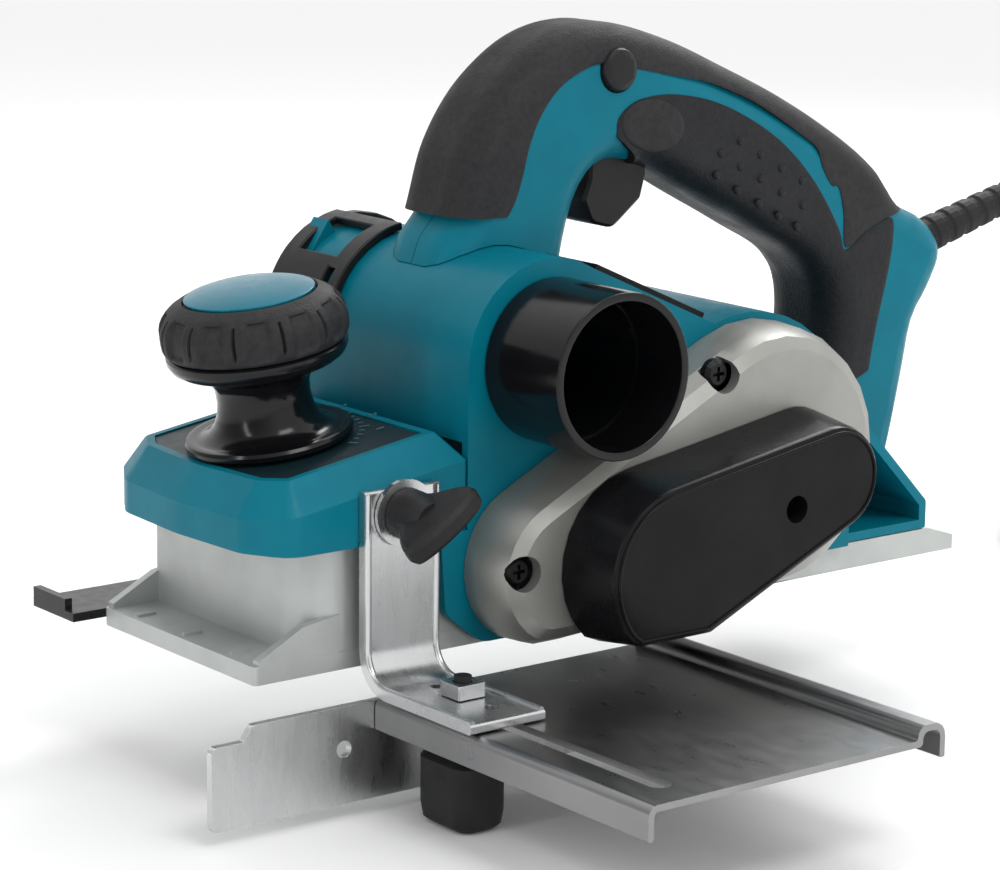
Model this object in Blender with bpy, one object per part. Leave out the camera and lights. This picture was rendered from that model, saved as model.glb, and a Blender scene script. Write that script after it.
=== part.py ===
"""A portable electric hand planer with its edge guide, depth guide and lead.

Lengths in this file are millimetres, and make() turns them into Blender's metres.
x runs from the front edge of the sole to the rear, y to the user's right, z up from the sole.
The part's own origin lies on the rear sole, ORIGIN_X behind the front edge.
"""

import math

import bmesh
import bpy
from mathutils import Matrix, Vector

# ---- driving dimensions -------------------------------------------------------------------
ORIGIN_X = 200.0
SOLE_LENGTH = 285.0
SOLE_HALF = 42.0
CUT_HALF = 41.0
GAP = 0.3
BODY_HALF = 46.0
REAR_HALF = 42.0
WALL = 3.0

DRUM = (119.0, 28.4)
TIP_R = 28.2
MOTOR = (185.0, 46.5)
BARREL_R = 46.0
DUCT = (105.0, 86.0)
DUCT_R = 31.0
NOZZLE_R = 25.3
NOZZLE_BORE = 22.6

TILT = math.radians(9.0)
KNOB_FOOT = (33.8, 0.0, 61.8)
PLATE_FRONT = 8.0
PLATE_Z = KNOB_FOOT[2] - math.tan(TILT) * (KNOB_FOOT[0] - PLATE_FRONT)
BEZEL_HALF = 46.0
BEZEL_REAR = 73.7
BEZEL_BOTTOM = 37.5

DRUM_PULLEY_R = 15.0
MOTOR_PULLEY_R = 9.5
BELT_THICK = 2.4
PULLEY_NEAR = -82.0
PULLEY_FAR = -69.5
CASE_FACE = -66.0
COVER_FACE = -88.0

HANDLE_HALF = 18.0
SKIN = 3.0
CLAMP_X = 47.5
CLAMP_Z = 47.0
GUIDE_BOLT = (50.0, -76.0)
FLOOR_Z = -42.0

CORD_D = 7.5
COIL_CENTRE = (472.5, 39.0)
COIL_R = 41.0
COIL_ROWS = 3
GUARD_START = (302.5, 0.0, 99.0)
GUARD_LENGTH = 55.0
GUARD_RISE = math.radians(15.0)

TEAL = ("teal_plastic", (0.0, 0.16, 0.22), 0.35, 0.0)
BLACK = ("black_plastic", (0.012, 0.012, 0.014), 0.3, 0.0)
RUBBER = ("black_rubber", (0.018, 0.018, 0.02), 0.75, 0.0)
ALUMINIUM = ("cast_aluminium", (0.58, 0.58, 0.56), 0.45, 0.9)
STEEL = ("bright_steel", (0.6, 0.6, 0.6), 0.3, 1.0)
DARK_STEEL = ("blackened_steel", (0.03, 0.03, 0.03), 0.4, 0.8)
COPPER = ("copper_winding", (0.55, 0.22, 0.08), 0.4, 0.9)
CARBON = ("carbon", (0.03, 0.03, 0.03), 0.7, 0.2)


# ---- small helpers ------------------------------------------------------------------------
def clear_scene():
    for thing in list(bpy.data.objects):
        bpy.data.objects.remove(thing, do_unlink=True)


def material(finish):
    name, colour, roughness, metallic = finish
    found = bpy.data.materials.get(name)
    if found:
        return found
    made = bpy.data.materials.new(name)
    made.use_nodes = True
    shader = made.node_tree.nodes["Principled BSDF"]
    shader.inputs["Base Color"].default_value = (*colour, 1.0)
    shader.inputs["Roughness"].default_value = roughness
    shader.inputs["Metallic"].default_value = metallic
    return made


def world(point):
    return Vector((point[0] - ORIGIN_X, point[1], point[2])) * 0.001


def make(name, bm, finish, pivot=(ORIGIN_X, 0.0, 0.0), lean=0.0):
    """Turn a bmesh in millimetres into an object whose origin is at the pivot.

    With a lean the mesh is drawn around its own upright axis, and leans forward with it.
    """
    bmesh.ops.recalc_face_normals(bm, faces=bm.faces[:])
    shift = Vector((0.0, 0.0, 0.0)) if lean else Vector(pivot)
    for v in bm.verts:
        v.co = (v.co - shift) * 0.001
    mesh = bpy.data.meshes.new(name)
    bm.to_mesh(mesh)
    bm.free()
    mesh.materials.append(material(finish))
    mesh.shade_smooth()
    mesh.set_sharp_from_angle(angle=math.radians(35))
    thing = bpy.data.objects.new(name, mesh)
    thing.location = world(pivot)
    thing.rotation_euler = (0.0, -lean, 0.0)
    bpy.context.collection.objects.link(thing)
    return thing


def combine(thing, bm, operation="DIFFERENCE", pivot=(ORIGIN_X, 0.0, 0.0), lean=0.0):
    """Cut a shape out of an object, or join one to it, with a hidden guide object."""
    guide = make(f"guide_{len(bpy.data.objects):03d}", bm, STEEL, pivot, lean)
    guide.hide_render = True
    guide.display_type = "WIRE"
    step = thing.modifiers.new("shape", "BOOLEAN")
    step.operation = operation
    step.object = guide
    step.solver = "EXACT"


def loops_solid(loops):
    """Bridge loops of equal length in order, and close the first and the last."""
    bm = bmesh.new()
    rings = [[bm.verts.new(p) for p in loop] for loop in loops]
    count = len(loops[0])
    for a, b in zip(rings, rings[1:]):
        for i in range(count):
            j = (i + 1) % count
            bm.faces.new((a[i], a[j], b[j], b[i]))
    bm.faces.new(rings[0][::-1])
    bm.faces.new(rings[-1])
    return bm


def inset(outline, distance):
    """Move an outline inwards, which is to the left of its counter-clockwise run."""
    moved = []
    count = len(outline)
    for i, (u, v) in enumerate(outline):
        a, b = outline[i - 1], outline[(i + 1) % count]
        before = Vector((u - a[0], v - a[1])).normalized()
        after = Vector((b[0] - u, b[1] - v)).normalized()
        normal = Vector((-before.y - after.y, before.x + after.x)).normalized()
        reach = distance / max(0.4, normal.dot(Vector((-before.y, before.x))))
        moved.append((u + normal.x * reach, v + normal.y * reach))
    return moved


def rounded(corners, steps=5):
    """An outline from (u, v, radius) corners, counter-clockwise, each corner an arc."""
    outline = []
    count = len(corners)
    for i, (u, v, radius) in enumerate(corners):
        here = Vector((u, v))
        if radius <= 0.0:
            outline.append((u, v))
            continue
        back = (Vector(corners[i - 1][:2]) - here).normalized()
        on = (Vector(corners[(i + 1) % count][:2]) - here).normalized()
        half = back.angle(on) / 2.0
        centre = here + (back + on).normalized() * (radius / math.sin(half))
        start = here + back * (radius / math.tan(half)) - centre
        turn = math.pi - 2.0 * half
        side = 1.0 if (-back.x * on.y + back.y * on.x) > 0.0 else -1.0
        for k in range(steps + 1):
            a = side * turn * k / steps
            point = centre + Matrix.Rotation(a, 2) @ start
            outline.append((point.x, point.y))
    return outline


def rounded_inset(corners, depth, steps=5):
    """A rounded outline moved inwards, with its corner radii reduced to match."""
    moved = inset([(u, v) for u, v, _ in corners], depth)
    radii = [max(0.6, radius - depth) for _, _, radius in corners]
    return rounded([(u, v, r) for (u, v), r in zip(moved, radii)], steps)


def arc(centre, radius, start, end, steps):
    """Points along an arc, angles in degrees."""
    points = []
    for k in range(steps + 1):
        a = math.radians(start + (end - start) * k / steps)
        points.append((centre[0] + radius * math.cos(a), centre[1] + radius * math.sin(a)))
    return points


def circle(centre, radius, steps=32):
    return arc(centre, radius, 0.0, 360.0 - 360.0 / steps, steps - 1)


def capsule(first, r1, second, r2, steps=14):
    """The outline of a band stretched round two circles."""
    dx, dz = second[0] - first[0], second[1] - first[1]
    along = math.degrees(math.atan2(dz, dx))
    lean = math.degrees(math.asin((r1 - r2) / math.hypot(dx, dz)))
    near = arc(first, r1, along + 90.0 - lean, along + 270.0 + lean, steps)
    far = arc(second, r2, along - 90.0 + lean, along + 90.0 - lean, steps)
    return near + far


def spline(points, per_span=4, closed=False):
    """Points on a smooth curve through the given ones."""
    count = len(points)
    spans = count if closed else count - 1
    curve = []
    for i in range(spans):
        if closed:
            a, b, c, d = (Vector(points[(i + k - 1) % count]) for k in range(4))
        else:
            a, b = Vector(points[max(i - 1, 0)]), Vector(points[i])
            c, d = Vector(points[i + 1]), Vector(points[min(i + 2, count - 1)])
        for k in range(per_span):
            t = k / per_span
            p = 0.5 * (2 * b + (c - a) * t + (2 * a - 5 * b + 4 * c - d) * t * t
                       + (3 * b - a - 3 * c + d) * t**3)
            curve.append(tuple(p))
    if not closed:
        curve.append(tuple(points[-1]))
    return curve


def across(outline, levels):
    """A solid along y from an (x, z) outline and (y, inset) levels."""
    return loops_solid([[(x, y, z) for x, z in inset(outline, d)] for y, d in levels])


def upward(outline, levels):
    """A solid along z from an (x, y) outline and (z, inset) levels."""
    return loops_solid([[(x, y, z) for x, y in inset(outline, d)] for z, d in levels])


def block(low, high, edge=0.0):
    outline = [(low[0], low[1]), (high[0], low[1]), (high[0], high[1]), (low[0], high[1])]
    if edge:
        outline = rounded([(x, y, edge) for x, y in outline], 3)
    return upward(outline, [(low[2], 0.0), (high[2], 0.0)])


def turned_y(centre, profile, steps=32):
    """A turned solid about an axis along y: profile is (y, radius) from end to end."""
    return loops_solid([[(x, y, z) for x, z in circle(centre, r, steps)] for y, r in profile])


def turned_z(centre, profile, steps=32):
    return loops_solid([[(x, y, z) for x, y in circle(centre, r, steps)] for z, r in profile])


def ring_of(loops):
    """Bridge loops of equal length all the way round, back to the first."""
    bm = bmesh.new()
    rings = [[bm.verts.new(p) for p in loop] for loop in loops]
    count = len(loops[0])
    for a, b in zip(rings, rings[1:] + rings[:1]):
        for i in range(count):
            j = (i + 1) % count
            bm.faces.new((a[i], a[j], b[j], b[i]))
    return bm


def turned_ring_y(centre, profile, steps=32):
    """A ring turned about an axis along y: profile is a closed run of (y, radius)."""
    return ring_of([[(x, y, z) for x, z in circle(centre, r, steps)] for y, r in profile])


def turned_ring_z(centre, profile, steps=32):
    """A ring turned about an upright axis: profile is a closed run of (z, radius)."""
    return ring_of([[(x, y, z) for x, y in circle(centre, r, steps)] for z, r in profile])


def ring_y(centre, y0, y1, outer, inner, steps=32):
    return turned_ring_y(centre, [(y0, outer), (y1, outer), (y1, inner), (y0, inner)], steps)


def cross_screw(name, centre, y0, y1, head_r, shank_r, length, finish=DARK_STEEL):
    """A screw along y whose head runs from y0 (outer) to y1, with a cross recess."""
    thing = make(name, turned_y(centre, [
        (y0, head_r * 0.72), (y0 + (y1 - y0) * 0.4, head_r), (y1, head_r),
        (y1 + GAP, shank_r), (y1 + length, shank_r)], 20), finish)
    arm, thin, deep = head_r * 0.5, head_r * 0.12, (y1 - y0) * 0.55
    plus = [(arm, thin), (thin, thin), (thin, arm), (-thin, arm), (-thin, thin), (-arm, thin),
            (-arm, -thin), (-thin, -thin), (-thin, -arm), (thin, -arm), (thin, -thin), (arm, -thin)]
    cross = [(centre[0] + u, centre[1] + v) for u, v in plus]
    combine(thing, across(cross, [(y0 - 1.0, 0.0), (y0 + deep, 0.0)]))
    return thing


# ---- outlines that several pieces share ---------------------------------------------------
def body_outline(grow=0.0):
    """The side outline of the main housing, counter-clockwise in x and z."""
    low_front = [(64.0, 37.2, 1.0), (66.0, 12.0, 6.0), (80.0, 1.2, 8.0)]
    mouth = [(118.5, 1.2, 0.0), (121.0, 9.3, 0.0)]
    rear = [(271.5, 9.3, 0.6), (271.5, 18.7, 2.0), (243.0, 48.0, 0.0)]
    barrel = [(x, z, 0.0) for x, z in arc(MOTOR, BARREL_R, 22.0, 108.0, 9)]
    duct = [(x, z, 0.0) for x, z in arc(DUCT, DUCT_R, 58.0, 180.0, 11)]
    front = [(DUCT[0] - DUCT_R, 37.2, 0.0)]
    outline = rounded(low_front + mouth + rear + barrel + duct + front, 3)
    return inset(outline, -grow) if grow else outline


def flat_below(outline, low):
    """The outline with everything under a height pressed flat to it."""
    return [(x, max(z, low)) for x, z in outline]


def case_outline(grow=0.0):
    """The alloy side case: a band round the drum end and the motor end."""
    return flat_below(capsule((98.0, 24.5), 25.4 + grow, (184.0, 48.0), 42.6 + grow),
                      1.0 - grow)


def cover_outline():
    """The belt cover: a narrower band, flat where it comes near the sole."""
    return flat_below(capsule((123.5, 25.0), 29.3, (187.0, 45.5), 19.6), 1.6)


def bezel_outline(depth=0.0):
    """The front skirt seen from above: a bowed front with round corners."""
    return rounded_inset([(BEZEL_REAR, -BEZEL_HALF, 1.0), (BEZEL_REAR, BEZEL_HALF, 1.0),
                          (10.0, BEZEL_HALF, 5.0), (2.0, 32.0, 12.0), (0.0, 0.0, 60.0),
                          (2.0, -32.0, 12.0), (10.0, -BEZEL_HALF, 9.0)], depth, 3)


def plate_z(x):
    """Height of the leaning top face above a place along the sole."""
    return PLATE_Z + math.tan(TILT) * (x - PLATE_FRONT)


def handle_outer():
    """The outer edge of the handle arch from the front foot to the rear foot."""
    return spline([(79.0, 88.0), (84.0, 105.0), (92.0, 126.0), (99.0, 147.5), (112.0, 165.5),
                   (131.0, 178.6), (152.0, 182.3), (178.0, 176.3), (205.0, 165.3),
                   (228.0, 155.0), (252.0, 142.0), (270.0, 129.5), (282.0, 116.0),
                   (292.0, 111.5), (301.0, 104.0), (303.0, 95.0), (297.5, 84.0),
                   (291.0, 74.0), (287.5, 58.0), (282.5, 36.0), (276.0, 11.5)], 3)


def handle_inner():
    """The inner edge, from the rear foot back to the front foot."""
    return spline([(240.0, 24.0), (243.5, 45.0), (246.5, 62.0), (249.0, 78.0), (246.5, 92.0),
                   (236.0, 103.0), (210.0, 116.5), (184.0, 130.0), (170.0, 136.5),
                   (153.0, 139.0), (142.5, 131.0), (137.0, 116.0), (134.5, 100.0),
                   (134.0, 84.0)], 3)


GRIP_FROM, GRIP_TO = 6, 35


def skin_depth(index):
    return SKIN if GRIP_FROM <= index <= GRIP_TO else 0.0


def outer_normals(points):
    normals = []
    for i in range(len(points)):
        a = Vector(points[max(i - 1, 0)])
        b = Vector(points[min(i + 1, len(points) - 1)])
        run = (b - a).normalized()
        normals.append(Vector((run.y, -run.x)))
    return normals


def offset_path(points, depths):
    """An open path moved to its right, by its own distance at each point."""
    normals = outer_normals(points)
    return [(p[0] + n.x * d, p[1] + n.y * d) for p, n, d in zip(points, normals, depths)]


def shortened(points, stop):
    """An open path with both its ends pulled in by a distance."""
    first, last = Vector(points[0]), Vector(points[-1])
    first += (Vector(points[1]) - first).normalized() * stop
    last += (Vector(points[-2]) - last).normalized() * stop
    return [tuple(first)] + points[1:-1] + [tuple(last)]


def handle_outline(depth=0.0, stop=0.0):
    """The handle shell's outline, counter-clockwise, with the step that the top grip fills."""
    outer, inner = handle_outer(), handle_inner()
    stepped = offset_path(outer, [depth + skin_depth(i) for i in range(len(outer))])
    inside = offset_path(inner, [depth] * len(inner))
    return shortened(stepped, stop)[::-1] + shortened(inside, stop)[::-1]


ROUNDING = ((0.0, 0.0), (7.0, 0.0), (11.5, 0.9), (15.0, 3.2), (17.2, 6.4), (18.0, 9.5))


# ---- bases and drum -----------------------------------------------------------------------
def front_base():
    """The moving front sole with its tray, its nut boss and its flange."""
    corner = [(84.0, -41.8, 1.0), (84.0, 41.8, 1.0), (17.8, 41.8, 3.0), (17.8, -41.8, 15.0)]
    thing = make("front_base", upward(rounded(corner, 5), [(0.8, 0.0), (40.0, 0.0)]), ALUMINIUM)
    combine(thing, upward(rounded_inset(corner, 4.0, 5), [(6.0, 0.0), (44.0, 0.0)]))
    sole = rounded([(96.0, -SOLE_HALF, 0.5), (96.0, SOLE_HALF, 0.5), (0.0, SOLE_HALF, 1.5),
                    (0.0, -SOLE_HALF, 1.5)], 2)
    combine(thing, upward(sole, [(0.0, 0.0), (5.6, 0.0)]), "UNION")
    for y in (-SOLE_HALF + 0.1, SOLE_HALF - 3.1):
        cheek = [(1.5, 2.0), (30.0, 2.0), (30.0, 17.0), (17.0, 15.0), (1.5, 7.0)]
        combine(thing, across(cheek, [(y, 0.0), (y + 3.0, 0.0)]), "UNION")
    combine(thing, turned_z((0.0, 0.0), [(-58.0, 9.0), (-16.0, 9.0)], 20), "UNION",
            KNOB_FOOT, TILT)
    combine(thing, turned_z((0.0, 0.0), [(-53.0, 4.3), (-14.0, 4.3)], 20), "DIFFERENCE",
            KNOB_FOOT, TILT)
    combine(thing, turned_y(DRUM, [(-60.0, TIP_R + 1.2), (60.0, TIP_R + 1.2)], 40))
    combine(thing, block((-20.0, -60.0, -20.0), (110.0, 60.0, 0.0)))


def rear_base():
    """The fixed rear sole, with the pocket for its parking foot."""
    outline = [(110.0, 0.0), (SOLE_LENGTH, 0.0), (SOLE_LENGTH, 5.0), (272.5, 9.0), (110.0, 9.0)]
    thing = make("rear_base", across(outline, [(-SOLE_HALF, 0.0), (SOLE_HALF, 0.0)]), ALUMINIUM)
    combine(thing, turned_y(DRUM, [(-60.0, TIP_R + 1.2), (60.0, TIP_R + 1.2)], 40))
    combine(thing, block((100.0, -50.0, -1.0), (119.5, 50.0, 12.0)))
    combine(thing, block((222.0, 20.0, -1.0), (263.0, 33.0, 8.3)))


def rear_foot():
    """The parking foot that swings down behind the sole, with its pin."""
    pivot = (258.0, 26.5, 3.8)
    bar = rounded([(224.0, 0.8, 0.8), (256.0, 0.8, 1.0), (261.2, 2.5, 1.5), (261.2, 6.4, 1.5),
                   (226.0, 6.4, 1.0), (224.0, 4.0, 1.0)], 2)
    foot = make("rear_foot", across(bar, [(21.0, 0.0), (32.0, 0.0)]), BLACK, pivot)
    combine(foot, turned_y((pivot[0], pivot[2]), [(20.4, 1.05), (32.6, 1.05)], 12), "UNION")


def drum():
    """The cutter drum with its shaft and two blade seats."""
    x, z = DRUM
    body_r = TIP_R - 1.6
    thing = make("cutter_drum", turned_y(DRUM, [
        (-88.0 + 5.5, 4.6), (-68.0, 4.6), (-67.5, 5.0), (-46.0, 5.0), (-45.5, 9.0),
        (-41.6, 9.0), (-CUT_HALF, body_r), (CUT_HALF, body_r), (41.6, 9.0), (42.4, 9.0),
        (42.8, 5.0), (51.0, 5.0)], 40), ALUMINIUM, (x, 0.0, z))
    for side in (1.0, -1.0):
        seat = [(x + side * u, z + side * v) for u, v in
                ((12.0, 3.0), (12.0, 15.5), (40.0, 15.5), (40.0, 3.0))]
        combine(thing, across(seat, [(-CUT_HALF - 3.0, 0.0), (CUT_HALF + 3.0, 0.0)]))


def drum_blades():
    """Each blade lies on its seat under a clamp bar."""
    x, z = DRUM
    for side, label in ((1.0, "a"), (-1.0, "b")):
        blade = [(x + side * u, z + side * v) for u, v in
                 ((13.0, 3.4), (25.9, 3.4), (27.9, 4.0), (26.3, 5.8), (13.0, 5.8))]
        make(f"planer_blade_{label}", across(blade, [(-CUT_HALF + 0.2, 0.0),
             (CUT_HALF - 0.2, 0.0)]), STEEL, (x, 0.0, z))
        bar = [(x + side * u, z + side * v) for u, v in
               ((12.4, 6.2), (24.6, 6.2), (23.6, 9.8), (20.6, 15.0), (12.4, 15.0))]
        make(f"blade_clamp_{label}", across(bar, [(-CUT_HALF + 0.2, 0.0),
             (CUT_HALF - 0.2, 0.0)]), DARK_STEEL, (x, 0.0, z))


def bearings():
    make("drum_bearing_near", ring_y(DRUM, -61.0, -52.0, 12.9, 5.3, 28), STEEL)
    make("drum_bearing_far", ring_y(DRUM, 43.2, 50.6, 12.9, 5.3, 28), STEEL)
    make("motor_bearing_near", ring_y(MOTOR, -61.0, -53.5, 10.9, 4.3, 24), STEEL)
    make("motor_bearing_far", ring_y(MOTOR, 43.2, 49.6, 9.4, 4.3, 24), STEEL)


# ---- motor and drive ----------------------------------------------------------------------
def motor():
    make("motor_shaft", turned_y(MOTOR, [(PULLEY_NEAR - 0.3, 3.6), (-64.0, 3.6), (-63.6, 4.0),
         (-50.0, 4.0), (-49.5, 6.0), (42.0, 6.0), (42.4, 4.0), (50.0, 4.0)], 20),
         STEEL, (MOTOR[0], 0.0, MOTOR[1]))
    armature = turned_ring_y(MOTOR, [(-20.0, 20.5), (20.0, 20.5), (20.6, 12.0), (34.0, 12.0),
                                     (34.0, 6.3), (-20.0, 6.3)], 32)
    make("armature", armature, COPPER, (MOTOR[0], 0.0, MOTOR[1]))
    make("stator", ring_y(MOTOR, -19.0, 19.0, 33.6, 22.0, 36), DARK_STEEL)
    fan()
    for side, label in ((1.0, "top"), (-1.0, "bottom")):
        z0 = MOTOR[1] + side * 12.5
        z1 = MOTOR[1] + side * 27.0
        make(f"carbon_brush_{label}", block((MOTOR[0] - 3.0, 25.0, min(z0, z1)),
             (MOTOR[0] + 3.0, 31.0, max(z0, z1))), CARBON)


def fan():
    """The cooling fan: a disc with blades, on the shaft's near end."""
    thing = make("cooling_fan", ring_y(MOTOR, -30.0, -27.5, 34.0, 6.3, 36), BLACK,
                 (MOTOR[0], 0.0, MOTOR[1]))
    for k in range(10):
        a = math.radians(36.0 * k + 9.0)
        along = Vector((math.cos(a), math.sin(a)))
        side = Vector((-along.y, along.x)) * 1.0
        root = Vector(MOTOR) + along * 15.0
        tip = Vector(MOTOR) + along * 32.5
        vane = [tuple(root - side), tuple(tip - side), tuple(tip + side), tuple(root + side)]
        combine(thing, across(vane, [(-38.0, 0.0), (-29.0, 0.0)]), "UNION")


def belt_drive():
    """Grooved pulleys and the flat ribbed belt round them."""
    for name, centre, radius, bore in (("drum_pulley", DRUM, DRUM_PULLEY_R, 4.9),
                                       ("motor_pulley", MOTOR, MOTOR_PULLEY_R, 3.9)):
        make(name, ring_y(centre, PULLEY_NEAR + 0.5, PULLEY_FAR, radius, bore, 32), ALUMINIUM,
             (centre[0], 0.0, centre[1]))
    inner = capsule(DRUM, DRUM_PULLEY_R + GAP, MOTOR, MOTOR_PULLEY_R + GAP, 16)
    outer = capsule(DRUM, DRUM_PULLEY_R + GAP + BELT_THICK, MOTOR,
                    MOTOR_PULLEY_R + GAP + BELT_THICK, 16)
    bm = ring_of([[(x, y, z) for x, z in line] for y, line in
                  ((-81.0, outer), (-70.0, outer), (-70.0, inner), (-81.0, inner))])
    make("drive_belt", bm, RUBBER)


# ---- housings -----------------------------------------------------------------------------
def main_housing():
    """The moulded housing: drum chamber, chip duct and motor barrel in one shell."""
    thing = make("main_housing", across(body_outline(), [(-BODY_HALF, 0.0), (BODY_HALF, 0.0)]),
                 TEAL)
    hollow = ([(58.0, -4.0), (150.0, -4.0), (150.0, 12.3), (268.4, 12.3), (268.4, 17.5),
               (240.0, 46.5)] + arc(MOTOR, BARREL_R - WALL, 18.0, 110.0, 9)
              + arc(DUCT, DUCT_R - WALL, 55.0, 180.0, 9)
              + [(DUCT[0] - DUCT_R + WALL, 63.5), (58.0, 63.5)])
    combine(thing, across(hollow, [(-BODY_HALF + WALL, 0.0), (BODY_HALF - WALL, 0.0)]))
    for y0, y1 in ((-60.0, -REAR_HALF), (REAR_HALF, 60.0)):
        combine(thing, block((232.0, y0, 0.0), (290.0, y1, 80.0)))
    combine(thing, across(case_outline(-5.0), [(-60.0, 0.0), (-38.0, 0.0)]))
    combine(thing, turned_y(DUCT, [(-60.0, NOZZLE_BORE), (70.0, NOZZLE_BORE)], 36))
    for centre, radius in ((DRUM, 13.2), (MOTOR, 9.7)):
        combine(thing, turned_y(centre, [(40.0, radius), (60.0, radius)], 28))
    return thing


def front_housing():
    """The front skirt with its leaning top and the recess for the scale."""
    def loop(depth, height, lean):
        shift = math.tan(TILT) * lean
        outline = bezel_outline(depth)
        return [(x, y, height + shift * (x - PLATE_FRONT)) for x, y in outline]

    thing = make("front_housing", loops_solid([
        loop(9.5, PLATE_Z - 5.0, 1.0), loop(3.0, 46.0, 0.6), loop(3.0, BEZEL_BOTTOM, 0.0),
        loop(0.0, BEZEL_BOTTOM, 0.0), loop(0.0, 48.5, 1.0), loop(6.5, PLATE_Z - 0.6, 1.0),
        loop(7.2, PLATE_Z, 1.0), loop(9.6, PLATE_Z, 1.0), loop(9.6, PLATE_Z - 2.2, 1.0)]), TEAL)
    combine(thing, block((60.0, -42.9, 30.0), (80.0, 42.9, 57.0)))
    combine(thing, turned_z((0.0, 0.0), [(-20.0, 6.0), (10.0, 6.0)], 20), "DIFFERENCE",
            KNOB_FOOT, TILT)
    for y in (-BEZEL_HALF, BEZEL_HALF):
        combine(thing, turned_y((CLAMP_X, CLAMP_Z), [(y - 6.0, 3.3), (y + 6.0, 3.3)], 16))


def scale_plate():
    outline = bezel_outline(9.9)

    def loop(height):
        return [(x, y, plate_z(x) + height) for x, y in outline]

    thing = make("scale_plate", loops_solid([loop(-1.9), loop(-0.5)]), BLACK)
    combine(thing, turned_z((0.0, 0.0), [(-20.0, 5.4), (10.0, 5.4)], 20), "DIFFERENCE",
            KNOB_FOOT, TILT)


def side_case():
    """The cast alloy case over the drive end, with seats for both near bearings."""
    outline = case_outline()
    thing = make("side_case", across(outline, [
        (-62.0, 4.0), (-BODY_HALF - GAP, 3.5), (-BODY_HALF - GAP, 0.0), (-58.0, 0.8),
        (-63.5, 3.2), (CASE_FACE, 7.0)]), ALUMINIUM)
    for centre, radius in ((DRUM, 16.2), (MOTOR, 14.0)):
        combine(thing, turned_y(centre, [(CASE_FACE + 0.5, radius), (-50.0, radius)], 28),
                "UNION")
    for centre, radius, shaft in ((DRUM, 13.2, 6.0), (MOTOR, 11.2, 5.0)):
        combine(thing, turned_y(centre, [(-61.4, radius), (-40.0, radius)], 28))
        combine(thing, turned_y(centre, [(-75.0, shaft), (-55.0, shaft)], 20))
    combine(thing, turned_y(DUCT, [(-80.0, NOZZLE_R + 1.6), (-40.0, NOZZLE_R + 1.6)], 36))
    for x, z in CASE_SCREWS:
        combine(thing, turned_y((x, z), [(-80.0, 5.6), (-58.5, 5.6)], 20))
        combine(thing, turned_y((x, z), [(-60.0, 2.4), (-40.0, 2.4)], 14))
    combine(thing, turned_y(COVER_SCREW, [(-80.0, 2.4), (-58.0, 2.4)], 14))


CASE_SCREWS = ((81.0, 26.5), (158.5, 78.0))
COVER_SCREW = (169.4, 38.5)


def belt_cover():
    """The black cover over the belt, with the sunk hole for its screw."""
    outline = cover_outline()
    top = COVER_FACE
    thing = make("belt_cover", across(outline, [
        (top + 2.6, 4.9), (CASE_FACE - GAP, 2.6), (CASE_FACE - GAP, 0.0), (top + 2.2, 2.6),
        (top + 0.7, 3.2), (top, 4.6)]), BLACK)
    combine(thing, turned_y(COVER_SCREW, [(top + 1.5, 6.6), (CASE_FACE - 0.8, 6.2)], 20), "UNION")
    combine(thing, turned_y(COVER_SCREW, [(top - 2.0, 4.3), (-74.0, 4.3)], 20))
    combine(thing, turned_y(COVER_SCREW, [(-76.0, 2.4), (-60.0, 2.4)], 14))


def far_covers():
    """The caps over the far bearings."""
    thing = make("motor_end_cover", across(circle(MOTOR, 36.0, 36), [
        (54.5, 4.0), (BODY_HALF + GAP, 3.0), (BODY_HALF + GAP, 0.0), (54.0, 0.0), (57.5, 3.5)]),
        BLACK)
    for k in range(7):
        x = MOTOR[0] - 21.0 + 7.0 * k
        reach = math.sqrt(27.0**2 - (x - MOTOR[0]) ** 2)
        combine(thing, block((x - 1.6, 50.0, MOTOR[1] - reach), (x + 1.6, 62.0, MOTOR[1] + reach)))
    make("drum_end_cap", across(circle(DRUM, 19.0, 32), [
        (53.5, 4.0), (BODY_HALF + GAP, 3.4), (BODY_HALF + GAP, 0.0), (54.5, 0.0), (56.5, 2.5)]),
        BLACK)


def nozzle_and_chip_cover():
    """The chip outlet on the near side, and the cover that closes the far side."""
    y0, y1 = -81.0, -BODY_HALF - GAP
    make("dust_nozzle", ring_y(DUCT, y0, y1, NOZZLE_R, NOZZLE_BORE, 48), BLACK)
    thing = make("chip_cover", across(circle(DUCT, DUCT_R - 0.5, 40), [
        (59.0, 4.0), (BODY_HALF + GAP, 2.6), (BODY_HALF + GAP, 0.0), (58.0, 0.0), (61.5, 3.0)]),
        BLACK)
    latch = [(DUCT[0] - DUCT_R - 3.0, 90.0), (DUCT[0] - DUCT_R + 6.0, 86.0),
             (DUCT[0] - 10.0, 110.0), (DUCT[0] - 15.0, 118.0)]
    combine(thing, across(latch, [(50.0, 0.0), (58.5, 0.0)]), "UNION")


# ---- handle -------------------------------------------------------------------------------
def handle_half(name, side):
    """One half of the handle, hollow towards the middle of the tool."""
    levels = [(14.5, 8.0, 4.0), (10.0, 3.6, 4.0), (0.15, 3.0, 4.0)]
    levels += [(max(0.15, y), d, 0.0) for y, d in ROUNDING]
    half = loops_solid([[(x, side * y, z) for x, z in handle_outline(d, stop)]
                        for y, d, stop in levels])
    thing = make(name, half, TEAL)
    combine(thing, across(body_outline(GAP), [(-60.0, 0.0), (60.0, 0.0)]))
    combine(thing, block((144.5, -9.4, 124.0), (175.5, 9.4, 148.0)))
    start = Vector(GUARD_START)
    combine(thing, turned_z((0.0, 0.0), [(-16.0, 7.2), (16.0, 7.2)], 20), "DIFFERENCE",
            tuple(start - guard_way() * 6.0), -(math.pi / 2.0 - GUARD_RISE))
    return thing


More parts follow.
